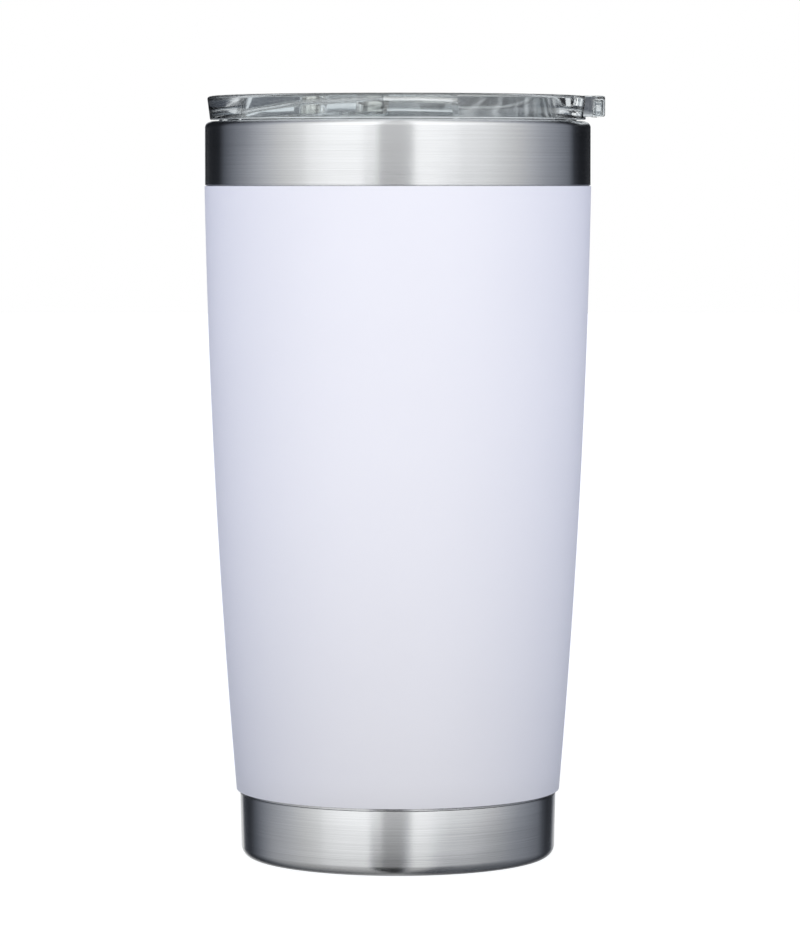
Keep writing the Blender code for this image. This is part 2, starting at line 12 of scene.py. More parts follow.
import bmesh
import bpy
from bpy.props import FloatProperty, FloatVectorProperty, IntProperty, PointerProperty
from bpy.types import Operator, Panel, PropertyGroup
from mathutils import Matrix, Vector


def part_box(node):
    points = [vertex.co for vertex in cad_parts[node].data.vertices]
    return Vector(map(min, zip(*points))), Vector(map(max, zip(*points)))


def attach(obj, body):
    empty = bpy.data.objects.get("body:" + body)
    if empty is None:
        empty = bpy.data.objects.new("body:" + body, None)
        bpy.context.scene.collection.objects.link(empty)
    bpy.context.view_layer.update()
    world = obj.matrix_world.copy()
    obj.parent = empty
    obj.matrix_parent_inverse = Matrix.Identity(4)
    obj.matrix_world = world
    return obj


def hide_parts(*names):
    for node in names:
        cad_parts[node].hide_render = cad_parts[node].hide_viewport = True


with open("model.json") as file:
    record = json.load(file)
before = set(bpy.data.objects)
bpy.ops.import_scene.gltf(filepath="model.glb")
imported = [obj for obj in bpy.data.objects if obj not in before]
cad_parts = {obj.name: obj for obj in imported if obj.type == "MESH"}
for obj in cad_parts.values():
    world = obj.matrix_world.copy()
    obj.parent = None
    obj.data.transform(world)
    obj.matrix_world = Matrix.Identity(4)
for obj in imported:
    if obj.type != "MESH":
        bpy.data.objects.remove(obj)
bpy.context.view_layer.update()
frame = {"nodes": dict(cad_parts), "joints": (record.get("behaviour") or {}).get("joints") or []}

bl_info = {
    "name": "Insulated Tumbler",
    "version": (1, 0, 0),
    "blender": (4, 5, 0),
    "location": "View3D > Sidebar > Tumbler",
    "description": "Models an insulated steel tumbler with a clear lid and a magnetic slider",
    "category": "Add Mesh",
}

MM = 0.001
TINY = 1e-6
FULL_TURN = 2 * math.pi


# ---------------------------------------------------------------- measures read from the frame


def radius_at(node, height):
    """The node's largest distance from the axis among its corners nearest to a height."""
    corners = frame["nodes"][node].data.vertices
    gap = min(abs(v.co.z - height) for v in corners)
    return max(v.co.xy.length for v in corners if abs(v.co.z - height) < gap + 10 * TINY)


WALL_LOW, WALL_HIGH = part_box("outer_wall")
COAT_LOW, COAT_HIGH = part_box("powder_coat")
BASE_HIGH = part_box("base_cup")[1]
DISC_LOW, DISC_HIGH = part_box("base_disc")
LINER_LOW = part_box("liner_wall")[0]
FLOOR_LOW, FLOOR_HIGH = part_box("liner_bottom")
LID_LOW, LID_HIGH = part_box("lid_body")
PLATE_LOW, PLATE_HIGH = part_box("slider_plate")
SHELL_LOW, SHELL_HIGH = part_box("slider_shell")
SEAL_LOW, SEAL_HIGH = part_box("slider_seal")
COVER_LOW, COVER_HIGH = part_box("lid_magnet_cover")
GASKET_LOW, GASKET_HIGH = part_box("lid_gasket")

COAT_SPANS = 5  # the frame's coat has this many spans up its side
SECOND_STATION = 2 / COAT_SPANS


def coat_bulge():
    """How far the coated side swells beyond a straight taper, read at the frame's second station."""
    low, high = radius_at("powder_coat", COAT_LOW.z), radius_at("powder_coat", COAT_HIGH.z)
    height = COAT_LOW.z + (COAT_HIGH.z - COAT_LOW.z) * SECOND_STATION
    straight = low + (high - low) * SECOND_STATION
    return (radius_at("powder_coat", height) - straight) / (4 * SECOND_STATION * (1 - SECOND_STATION))


# ---------------------------------------------------------------- settings


def length(name, description, default):
    return FloatProperty(name=name, description=description, default=default, unit="LENGTH", precision=5)


def colour(name, description, default):
    return FloatVectorProperty(name=name, description=description, default=default, subtype="COLOR", size=3)


def share(name, description, default):
    limits = {"min": 0.0, "max": 1.0, "subtype": "FACTOR"}
    return FloatProperty(name=name, description=description, default=default, **limits)


class CupSizes(PropertyGroup):
    """Sizes of the cup's walls, coat and base"""

    lip_radius: length("Lip", "Radius of the roll at the cup's lip", 1.4 * MM)
    lip_seam: length("Lip seam", "Half the width of the polished weld on the lip's crest", 0.02 * MM)
    sheet: length("Sheet", "Thickness of the steel walls", 0.5 * MM)
    coat: length("Coat", "Thickness of the powder coat", 0.25 * MM)
    skin_gap: length("Skin gap", "Between the coat and the wall under it", 0.15 * MM)
    coat_edge: length("Coat edge", "Rounding of the coat's edges", 0.11 * MM)
    coat_bulge: length("Coat bulge", "How far the side swells beyond a straight taper", coat_bulge())
    liner_inset: length("Liner inset", "From the coat's surface to the liner's inner surface", 5.9 * MM)
    mouth_radius: length("Mouth", "Inner radius of the liner where the lid sits", 41.65 * MM)
    mouth_bottom: length("Mouth bottom", "Level where the straight mouth ends", 157.5 * MM)
    shoulder_bottom: length("Shoulder", "Level where the liner has narrowed from the mouth", 151.5 * MM)
    liner_corner: length("Liner corner", "Radius between the liner's wall and floor", 7.0 * MM)
    base_sheet: length("Base sheet", "Thickness of the base cup", 0.6 * MM)
    base_top: length("Base top", "Level of the base cup's shoulder", 15.0 * MM)
    base_edge: length("Base edge", "Rounding of the base cup's upper edge", 0.25 * MM)
    foot_radius: length("Foot", "Rounding between the base band and the foot", 2.5 * MM)
    foot_lip: length("Foot lip", "Rounding of the foot's inner edge", 0.35 * MM)
    foot_width: length("Foot width", "Width of the ring on which the cup stands", 2.4 * MM)
    band_foot: length("Band foot", "Radius of the base band just above the foot", 36.35 * MM)
    recess_radius: length("Recess", "Radius of the recess under the base", 30.9 * MM)
    port_radius: length("Port", "Radius of the opening round the vacuum seal", 5.0 * MM)
    sides: IntProperty(name="Sides", description="Facets round every turned piece of the cup", default=192)


class LidSizes(PropertyGroup):
    """Sizes of the lid and its slider"""

    flange_foot: length("Flange foot", "Radius of the flange where it rests on the lip", 43.3 * MM)
    flange_bottom: length("Flange bottom", "Level of the flange's underside", 170.3 * MM)
    flange_edge: length("Flange edge", "Rounding of the flange's outer edge", 0.7 * MM)
    foot_edge: length("Foot edge", "Rounding of the flange's lower edge", 0.3 * MM)
    well_radius: length("Well", "Inner radius of the flange's flat top", 40.2 * MM)
    well_edge: length("Well edge", "Rounding between the well's wall and the flat top", 1.2 * MM)
    deck_radius: length("Deck radius", "Radius of the sunken deck", 37.7 * MM)
    deck_level: length("Deck", "Level of the sunken deck", 167.6 * MM)
    deck_thickness: length("Deck thickness", "Thickness of the deck", 2.0 * MM)
    fillet: length("Fillet", "Rounding between the deck and the well's wall", 0.4 * MM)
    skirt_radius: length("Skirt", "Outer radius of the skirt inside the cup", 41.2 * MM)
    skirt_inner: length("Skirt inside", "Inner radius of the skirt", 37.8 * MM)
    skirt_draft: length("Skirt draft", "How far the skirt's inside narrows upwards", 0.4 * MM)
    lead_in: length("Lead-in", "Rounding of the skirt's lower edge", 0.8 * MM)
    groove_radius: length("Groove", "Radius of the gasket groove's floor", 39.4 * MM)
    groove_bottom: length("Groove bottom", "Level of the groove's lower side", 163.0 * MM)
    groove_top: length("Groove top", "Level of the groove's upper side", 166.5 * MM)
    gasket_waist: length("Gasket waist", "Outer radius between the gasket's two lips", 40.7 * MM)
    tab_root: length("Tab root", "Where the lift tab starts inside the flange, along X", 40.5 * MM)
    tab_width: length("Tab width", "Width of the lift tab", 19.0 * MM)
    tab_bottom: length("Tab bottom", "Level of the lift tab's underside", 171.0 * MM)
    tab_corner: length("Tab corner", "Rounding of the lift tab's corners", 3.5 * MM)
    tab_edge: length("Tab edge", "Rounding of the lift tab's edges", 0.5 * MM)
    track_gap: length("Track gap", "Clearance round the slider", 0.3 * MM)
    rail_wall: length("Rail wall", "Thickness of each rail", 1.4 * MM)
    rail_top: length("Rail top", "Height of each rail above the deck", 3.1 * MM)
    rail_lip: length("Rail lip", "Height of the rail's lip above the deck", 1.95 * MM)
    rail_edge: length("Rail edge", "Rounding of the rails' upper edges", 0.25 * MM)
    rail_start: length("Rail start", "Where the rails start, along X", -34.4 * MM)
    sip_centre: length("Sip centre", "Middle of the sip opening, along X", -29.75 * MM)
    sip_length: length("Sip length", "Size of the sip opening along X", 6.5 * MM)
    sip_width: length("Sip width", "Size of the sip opening along Y", 17.0 * MM)
    sip_corner: length("Sip corner", "Corner radius of the sip opening", 3.0 * MM)
    vent_centre: length("Vent", "Middle of the vent hole, along X", 28.0 * MM)
    vent_radius: length("Vent radius", "Radius of the vent hole", 1.5 * MM)
    boss_width: length("Boss", "Width of the magnets' block under the deck", 11.0 * MM)
    boss_corner: length("Boss corner", "Corner radius of the block and its cover", 1.5 * MM)
    slider_corner: length("Slider corner", "Corner radius of the slider", 3.0 * MM)
    shell_top: length("Shell top", "Level of the slider's top between its ribs", 173.8 * MM)
    seal_corner: length("Seal corner", "Corner radius of the seal under the slider", 2.6 * MM)
    magnet_radius: length("Magnet", "Radius of every magnet", 3.5 * MM)
    magnet_pocket: length("Magnet pocket", "Radius of the pockets that hold the magnets", 3.8 * MM)
    sides: IntProperty(name="Sides", description="Facets round every turned piece of the lid", default=192)


class TumblerFinishes(PropertyGroup):
    """Colours and finishes"""

    coat: colour("Powder coat", "Cool white of the powder coat", (0.80, 0.80, 0.85))
    steel: colour("Steel", "Bare stainless steel", (0.62, 0.63, 0.65))
    copper: colour("Copper", "Heat shield foil", (0.72, 0.36, 0.22))
    plastic: colour("Clear plastic", "Tint of the clear lid", (0.91, 0.935, 0.945))
    silicone: colour("Silicone", "Frosted clear silicone", (0.84, 0.86, 0.87))
    nickel: colour("Nickel", "Plating of the magnets", (0.66, 0.64, 0.60))
    brushing: share("Brushing", "Strength of the brush marks on the bare steel", 0.35)
    peel: share("Texture", "Strength of the powder coat's fine texture", 0.2)


def settings():
    scene = bpy.context.scene
    return scene.tumbler_cup, scene.tumbler_lid, scene.tumbler_finishes


# ---------------------------------------------------------------- shader maths


class Wire:
    """A shader socket that takes part in Python arithmetic by adding Math nodes."""

    def __init__(self, recipe, socket):
        self.recipe = recipe
        self.socket = socket

    def maths(self, operation, *values):
        sockets = dict(enumerate(values))
        return self.recipe.node("ShaderNodeMath", {"operation": operation}, sockets)

    def __add__(self, other):
        return self.maths("ADD", self, other)

    def __sub__(self, other):
        return self.maths("SUBTRACT", self, other)

    def __rsub__(self, other):
        return self.maths("SUBTRACT", other, self)

    def __mul__(self, other):
        return self.maths("MULTIPLY", self, other)

    def __truediv__(self, other):
        return self.maths("DIVIDE", self, other)

    def __rtruediv__(self, other):
        return self.maths("DIVIDE", other, self)

    __radd__ = __add__
    __rmul__ = __mul__


class Recipe:
    """A node tree under construction, ending in the shader of a material or a world."""

    def __init__(self, tree):
        self.tree = tree

    def put(self, socket, value):
        if isinstance(value, Wire):
            self.tree.links.new(value.socket, socket)
        else:
            socket.default_value = value

    def node(self, kind, setup=None, sockets=None, out=0):
        """Adds a node, makes its settings, then fills its sockets with values or links."""
        node = self.tree.nodes.new(kind)
        for name, value in (setup or {}).items():
            if name == "stops":
                self.set_stops(node.color_ramp, value)
            else:
                setattr(node, name, value)
        for name, value in (sockets or {}).items():
            self.put(node.inputs[name], value)
        return Wire(self, node.outputs[out])

    def set_stops(self, ramp, stops):
        for _ in range(len(stops) - len(ramp.elements)):
            ramp.elements.new(0.5)
        for element, (position, value) in zip(ramp.elements, stops):
            element.position = position
            element.color = (*value, 1.0) if isinstance(value, tuple) else (value, value, value, 1.0)

    def place(self, scale=(1, 1, 1)):
        """The point on the piece, in metres, stretched for patterns that run one way."""
        point = self.node("ShaderNodeTexCoord", out="Object")
        return self.node("ShaderNodeMapping", None, {"Vector": point, "Scale": scale})

    def noise(self, place, scale, detail=2.0, roughness=0.5):
        sockets = {"Vector": place, "Scale": scale, "Detail": detail, "Roughness": roughness}
        return self.node("ShaderNodeTexNoise", None, sockets)

    def spread(self, value, low, high):
        """Stretches the middle of a noise value over the range from low to high."""
        sockets = {"Value": value, "From Min": 0.3, "From Max": 0.7, "To Min": low, "To Max": high}
        return self.node("ShaderNodeMapRange", None, sockets)

    def blend(self, factor, first, second, how="MIX"):
        """A colour that goes from the first to the second as the factor goes from 0 to 1."""
        setup = {"data_type": "RGBA", "blend_type": how}
        return self.node("ShaderNodeMix", setup, {0: factor, 6: first, 7: second}, out=2)

    def tone(self, mask, tint, darkest, lightest):
        """One tint, from its darkest to its lightest share as the mask goes from 0 to 1."""
        return self.blend(mask, tinted(tint, darkest), tinted(tint, lightest))

    def product(self, first, second):
        return self.blend(1.0, first, second, "MULTIPLY")

    def bump(self, height, strength, distance):
        sockets = {"Height": height, "Strength": strength, "Distance": distance}
        return self.node("ShaderNodeBump", None, sockets)


def material(name, constants, varying):
    """A Principled material: constants go on its sockets, and varying makes the links from a recipe."""
    made = bpy.data.materials.get(name) or bpy.data.materials.new(name)
    made.use_nodes = True
    shader = made.node_tree.nodes["Principled BSDF"]
    for socket, value in constants.items():
        shader.inputs[socket].default_value = value
    recipe = Recipe(made.node_tree)
    for socket, wire in varying(recipe).items():
        recipe.put(shader.inputs[socket], wire)
    return made


def tinted(tint, factor):
    """A colour made darker or lighter, with alpha."""
    return (*(min(1.0, c * factor) for c in tint), 1.0)


def turned(amount):
    """Constants of bare metal whose marks run round the cup's axis."""
    return {"Metallic": 1.0, "Anisotropic": amount, "Anisotropic Rotation": 0.25}


def brushed_steel():
    """Bare steel, brushed round the axis: fine level lines of uneven depth and gloss."""
    finishes = settings()[2]

    def varying(recipe):
        lines = recipe.noise(recipe.place((18, 18, 9000)), 1.0, 3.0, 0.6)
        scratches = recipe.noise(recipe.place((45, 45, 26000)), 1.0, 2.0, 0.7)
        patches = recipe.noise(recipe.place((40, 40, 160)), 1.0, 2.0)
        both = recipe.spread(lines, 0.0, 0.6) + recipe.spread(scratches, 0.0, 0.4)
        mask = both * 0.75 + recipe.spread(patches, 0.0, 0.25)
        return {
            "Base Color": recipe.tone(mask, finishes.steel, 0.80, 1.16),
            "Roughness": 0.17 + both * 0.06 + recipe.spread(patches, 0.0, 0.03),
            "Normal": recipe.bump(both, finishes.brushing, 0.004 * MM),
        }

    return material("brushed_steel_finish", turned(1.0), varying)


def satin_steel():
    """Electropolished liner: soft, with faint drawing lines round the axis."""
    finishes = settings()[2]

    def varying(recipe):
        lines = recipe.noise(recipe.place((30, 30, 5000)), 1.0, 3.0, 0.6)
        cloud = recipe.noise(recipe.place((60, 60, 60)), 1.0, 3.0)
        return {
            "Base Color": recipe.tone(recipe.spread(cloud, 0.2, 1.0), finishes.steel, 0.88, 1.02),
            "Roughness": 0.3 + recipe.spread(cloud, 0.0, 0.08) + recipe.spread(lines, 0.0, 0.05),
            "Normal": recipe.bump(lines, 0.25, 0.004 * MM),
        }

    return material("satin_steel_finish", turned(0.6), varying)


def spun_steel():
    """The cover disc's finish: fine circles left by the tool, round its middle."""
    finishes = settings()[2]

    def varying(recipe):
        point = recipe.place()
        across = recipe.node("ShaderNodeVectorMath", {"operation": "MULTIPLY"}, {0: point, 1: (1, 1, 0)})
        radius = recipe.node("ShaderNodeVectorMath", {"operation": "LENGTH"}, {0: across}, out="Value")
        along = recipe.node("ShaderNodeCombineXYZ", None, {"X": radius * 7000})
        circles = recipe.noise(along, 1.0, 3.0, 0.6)
        return {
            "Base Color": recipe.tone(recipe.spread(circles, 0.0, 1.0), finishes.steel, 0.86, 1.0),
            "Roughness": 0.26 + recipe.spread(circles, 0.0, 0.1),
            "Normal": recipe.bump(circles, 0.3, 0.004 * MM),
        }

    return material("spun_steel_finish", turned(0.7), varying)


def powder_coat():
    """Cool white powder coat: a satin skin with a very fine orange peel."""
    finishes = settings()[2]

    def varying(recipe):
        point = recipe.place()
        peel = recipe.noise(point, 1800.0, 2.0, 0.55)
        grain = recipe.noise(point, 5200.0, 1.0, 0.5)
        cloud = recipe.noise(point, 22.0, 2.0, 0.5)
        height = peel * 0.75 + grain * 0.25
        mask = recipe.spread(cloud, 0.0, 0.7) + recipe.spread(grain, 0.0, 0.3)
        return {
            "Base Color": recipe.tone(mask, finishes.coat, 0.985, 1.01),
            "Roughness": 0.44 + recipe.spread(peel, 0.0, 0.08),
            "Normal": recipe.bump(height, finishes.peel, 0.03 * MM),
        }

    return material("white_powder_coat_finish", {"IOR": 1.5, "Specular IOR Level": 0.5}, varying)


def clear_plastic():
    """Polished clear copolyester, faintly uneven where it flowed into the mould."""
    finishes = settings()[2]

    def varying(recipe):
        flow = recipe.noise(recipe.place((1, 1, 2)), 90.0, 2.0, 0.4)
        specks = recipe.noise(recipe.place(), 900.0, 2.0, 0.6)
        return {
            "Base Color": recipe.tone(recipe.spread(flow, 0.0, 1.0), finishes.plastic, 0.96, 1.0),
            "Roughness": 0.02 + recipe.spread(specks, 0.0, 0.025),
            "Normal": recipe.bump(flow, 0.12, 0.12 * MM),
        }

    return material("clear_plastic_finish", {"Transmission Weight": 1.0, "IOR": 1.52}, varying)


def frosted_silicone():
    """Soft translucent silicone with a matt moulded skin."""
    finishes = settings()[2]

    def varying(recipe):
        skin = recipe.noise(recipe.place(), 2500.0, 3.0, 0.6)
        cloud = recipe.noise(recipe.place(), 160.0, 2.0)
        return {
            "Base Color": recipe.tone(recipe.spread(cloud, 0.0, 1.0), finishes.silicone, 0.94, 1.03),
            "Roughness": 0.42 + recipe.spread(skin, 0.0, 0.15),
            "Normal": recipe.bump(skin, 0.2, 0.02 * MM),
        }

    return material("frosted_silicone_finish", {"Transmission Weight": 0.45, "IOR": 1.41}, varying)


def nickel_plate():
    """Bright plating with a faint haze."""
    finishes = settings()[2]

    def varying(recipe):
        haze = recipe.noise(recipe.place(), 700.0, 4.0, 0.6)
        return {
            "Base Color": recipe.tone(recipe.spread(haze, 0.0, 1.0), finishes.nickel, 0.85, 1.05),
            "Roughness": 0.14 + recipe.spread(haze, 0.0, 0.12),
            "Normal": recipe.bump(haze, 0.15, 0.01 * MM),
        }

    return material("nickel_plate_finish", {"Metallic": 1.0}, varying)


def copper_foil():
    """Thin foil with soft crinkles."""
    finishes = settings()[2]

    def varying(recipe):
        crinkle = recipe.noise(recipe.place((1, 1, 0.5)), 260.0, 4.0, 0.55)
        stain = recipe.noise(recipe.place(), 45.0, 3.0, 0.6)
        return {
            "Base Color": recipe.tone(recipe.spread(stain, 0.0, 1.0), finishes.copper, 0.75, 1.1),
            "Roughness": 0.18 + recipe.spread(stain, 0.0, 0.15),
            "Normal": recipe.bump(crinkle, 0.6, 0.3 * MM),
        }

    return material("copper_foil_finish", {"Metallic": 1.0}, varying)


def pressed_powder():
    """The getter: dark grey metal powder pressed into a pellet."""

    def varying(recipe):
        grains = recipe.noise(recipe.place(), 4200.0, 4.0, 0.7)
        dark, light = (0.12, 0.12, 0.13, 1.0), (0.34, 0.34, 0.36, 1.0)
        return {
            "Base Color": recipe.blend(recipe.spread(grains, 0.0, 1.0), dark, light),
            "Roughness": 0.6 + recipe.spread(grains, 0.0, 0.25),
            "Normal": recipe.bump(grains, 0.7, 0.08 * MM),
        }

    return material("getter_alloy_finish", {"Metallic": 0.6}, varying)


def seal_glass():
    """The fused bead: dark glass with streaks."""

    def varying(recipe):
        streaks = recipe.noise(recipe.place((1, 3, 1)), 600.0, 3.0, 0.6)
        dark, light = (0.07, 0.11, 0.09, 1.0), (0.24, 0.31, 0.27, 1.0)
        return {
            "Base Color": recipe.blend(recipe.spread(streaks, 0.0, 1.0), dark, light),
            "Roughness": 0.1 + recipe.spread(streaks, 0.0, 0.1),
            "Normal": recipe.bump(streaks, 0.3, 0.03 * MM),
        }

    return material("seal_glass_finish", {}, varying)


# ---------------------------------------------------------------- modelling helpers


def arc(centre, radius, start, end, spans):
    """Points of an arc in the (r, z) plane, from the start angle to the end angle in degrees."""
    angles = [math.radians(start + (end - start) * i / spans) for i in range(spans + 1)]
    return [(centre[0] + radius * math.cos(a), centre[1] + radius * math.sin(a)) for a in angles]


def deselect():
    if bpy.context.mode != "OBJECT":
        bpy.ops.object.mode_set(mode="OBJECT")
    bpy.ops.object.select_all(action="DESELECT")


@contextmanager
def editing(piece):
    """Edit mode on one piece, with all of its mesh selected at the start."""
    deselect()
    bpy.context.view_layer.objects.active = piece
    piece.select_set(True)
    bpy.ops.object.mode_set(mode="EDIT")
    bpy.ops.mesh.select_all(action="SELECT")
    yield
    bpy.ops.object.mode_set(mode="OBJECT")


def select(piece, kind, test):
    """In edit mode, selects just the verts, edges or faces that pass the test."""
    bpy.ops.mesh.select_mode(type={"verts": "VERT", "edges": "EDGE", "faces": "FACE"}[kind])
    bpy.ops.mesh.select_all(action="DESELECT")
    mesh = bmesh.from_edit_mesh(piece.data)
    for element in getattr(mesh, kind):
        if test(element):
            element.select_set(True)
    mesh.select_flush_mode()
    bmesh.update_edit_mesh(piece.data)


def middle(element):
    """The middle of an edge or a face."""
    return sum((v.co for v in element.verts), Vector()) / len(element.verts)


def upright(edge):
    run = edge.verts[1].co - edge.verts[0].co
    return abs(run.z) > 0.99 * run.length


def is_level(edge):
    return abs(edge.verts[0].co.z - edge.verts[1].co.z) < TINY


def spun(name, outline, sides, ring=False):
    """A turned piece: one corner of a plane is drawn out along the outline, which is then spun.

    The outline of a ring is closed first, and any other starts and ends on the axis.
    """
    deselect()
    bpy.ops.mesh.primitive_plane_add(size=MM, location=(0.0, 0.0, 0.0))
    piece = bpy.context.object
    piece.name = name
    with editing(piece):
        select(piece, "verts", lambda v: v.index > 0)
        bpy.ops.mesh.delete(type="VERT")
        bpy.ops.mesh.select_all(action="SELECT")
        corner = Vector((-MM / 2, -MM / 2, 0.0))
        bpy.ops.transform.translate(value=Vector((outline[0][0], 0.0, outline[0][1])) - corner)
        for here, there in zip(outline, outline[1:]):
            step = (there[0] - here[0], 0.0, there[1] - here[1])
            bpy.ops.mesh.extrude_vertices_move(TRANSFORM_OT_translate={"value": step})
        if ring:
            select(piece, "verts", lambda v: len(v.link_edges) == 1)
            bpy.ops.mesh.edge_face_add()
        bpy.ops.mesh.select_all(action="SELECT")
        bpy.ops.mesh.spin(steps=sides, angle=FULL_TURN, center=(0.0, 0.0, 0.0), axis=(0.0, 0.0, 1.0))
        bpy.ops.mesh.select_all(action="SELECT")
        bpy.ops.mesh.remove_doubles(threshold=2 * TINY)
        bpy.ops.mesh.normals_make_consistent(inside=False)
    return piece


def rounded_block(name, low, high, corner=0.0, edge=0.0, faces="top", spans=6):
    """A cube shaped between two corners, with rounded upright edges, and its top or both rims softened."""
    low, high = Vector(low), Vector(high)
    deselect()
    bpy.ops.mesh.primitive_cube_add(size=1.0, location=(low + high) / 2, scale=high - low)
    bpy.ops.object.transform_apply(location=True, rotation=True, scale=True)
    piece = bpy.context.object
    piece.name = name
    with editing(piece):
        if corner:
            select(piece, "edges", upright)
            bpy.ops.mesh.bevel(offset=corner, segments=spans, affect="EDGES")
        if edge:
            def on_rim(e):
                level = middle(e).z
                at_rim = level > high.z - TINY or faces == "both" and level < low.z + TINY
                return at_rim and is_level(e)

            select(piece, "edges", on_rim)
            bpy.ops.mesh.bevel(offset=edge, segments=3, affect="EDGES")
    return piece


def round_plate(name, centre, radius, low, high, edge, sides=48):
    """A cylinder that stands on the X axis, with both of its rims rounded."""
    deselect()
    place = (centre, 0.0, (low + high) / 2)
    bpy.ops.mesh.primitive_cylinder_add(vertices=sides, radius=radius, depth=high - low, location=place)
    bpy.ops.object.transform_apply(location=True, rotation=True, scale=True)
    piece = bpy.context.object
    piece.name = name
    with editing(piece):
        turn = math.pi / sides / 2
        bpy.ops.transform.rotate(value=turn, orient_axis="Z", center_override=place)
        if edge:
            select(piece, "edges", is_level)
            bpy.ops.mesh.bevel(offset=edge, segments=3, affect="EDGES")
    return piece


def apply_modifier(piece, kind, **values):
    deselect()
    bpy.context.view_layer.objects.active = piece
    piece.select_set(True)
    modifier = piece.modifiers.new(kind.title(), kind)
    for name, value in values.items():
        setattr(modifier, name, value)
    bpy.ops.object.modifier_apply(modifier=modifier.name)


def combine(piece, operation, *tools):
    """Joins tools to a piece or cuts them from it, and removes the tools."""
    for tool in tools:
        apply_modifier(piece, "BOOLEAN", operation=operation, object=tool, solver="EXACT")
        bpy.data.objects.remove(tool)


def finish(piece, look, body, slot, *nodes, angle=30.0):
    """Shades the piece, gives it its material, hides the frame's nodes that it stands for, and parents it to
    the empty of the body it rides on.
    """
    deselect()
    bpy.context.view_layer.objects.active = piece
    piece.select_set(True)
    piece.data.materials.clear()
    piece.data.materials.append(look)
    bpy.ops.object.shade_smooth_by_angle(angle=math.radians(angle))
    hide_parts(*nodes)
    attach(piece, body)
    return piece


# ---------------------------------------------------------------- the cup's shape


def coat_radius(z):
    """Outer radius of the coated side, which also leads every wall inside it."""
    cup = settings()[0]
    low, high = radius_at("powder_coat", COAT_LOW.z), COAT_HIGH.x
    part = (z - COAT_LOW.z) / (COAT_HIGH.z - COAT_LOW.z)
    return low + (high - low) * part + 4 * cup.coat_bulge * part * (1 - part)


def side(inset, bottom, top, spans=24):
    """Points up the cup's side, set in from the coat's surface."""
    levels = [bottom + (top - bottom) * i / spans for i in range(spans + 1)]
    return [(coat_radius(z) - inset, z) for z in levels]


class MESH_OT_tumbler_outer_wall(Operator):
    """Model the outer steel wall, with its bare band and rolled lip"""

    bl_idname = "mesh.tumbler_outer_wall"
    bl_label = "Outer Wall"

    def execute(self, context):
        cup = settings()[0]
        band, top = WALL_HIGH.x, WALL_HIGH.z
        crest = (band - cup.lip_radius, top - cup.lip_radius)
        seam = math.degrees(cup.lip_seam / cup.lip_radius)
        step = COAT_HIGH.z + cup.skin_gap
        inset = cup.coat + cup.skin_gap
        outline = arc(crest, cup.lip_radius, 90 - seam, 0, 10)
        outline += [(band, step + 0.1 * MM), (band - 0.1 * MM, step), (coat_radius(step) - inset, step)]
        outline += side(inset, WALL_LOW.z, COAT_HIGH.z - cup.sheet)[::-1]
        outline += side(inset + cup.sheet, WALL_LOW.z, COAT_HIGH.z - 2 * cup.sheet)
        outline += [(band - cup.sheet, step + cup.sheet)]
        outline += arc(crest, cup.lip_radius - cup.sheet, 0, 90 - seam, 6)
        wall = spun("steel_outer_wall", outline, cup.sides, ring=True)
        finish(wall, brushed_steel(), "cup", "brushed_steel", "outer_wall")
        return {"FINISHED"}


class MESH_OT_tumbler_coat(Operator):
    """Model the powder coat, with its rounded edges"""

    bl_idname = "mesh.tumbler_coat"
    bl_label = "Powder Coat"

    def execute(self, context):
        cup = settings()[0]
        low, high, round_ = COAT_LOW.z, COAT_HIGH.z, cup.coat_edge
        outline = arc((coat_radius(high) - round_, high - round_), round_, 90, 0, 4)
        outline += side(0.0, low + round_, high - 2 * round_)[::-1]
        outline += arc((coat_radius(low) - round_, low + round_), round_, -20, -90, 4)
        outline += side(cup.coat, low, high)
        coat = spun("powder_coat_sleeve", outline, cup.sides, ring=True)
        finish(coat, powder_coat(), "cup", "white_powder_coat", "powder_coat")
        return {"FINISHED"}


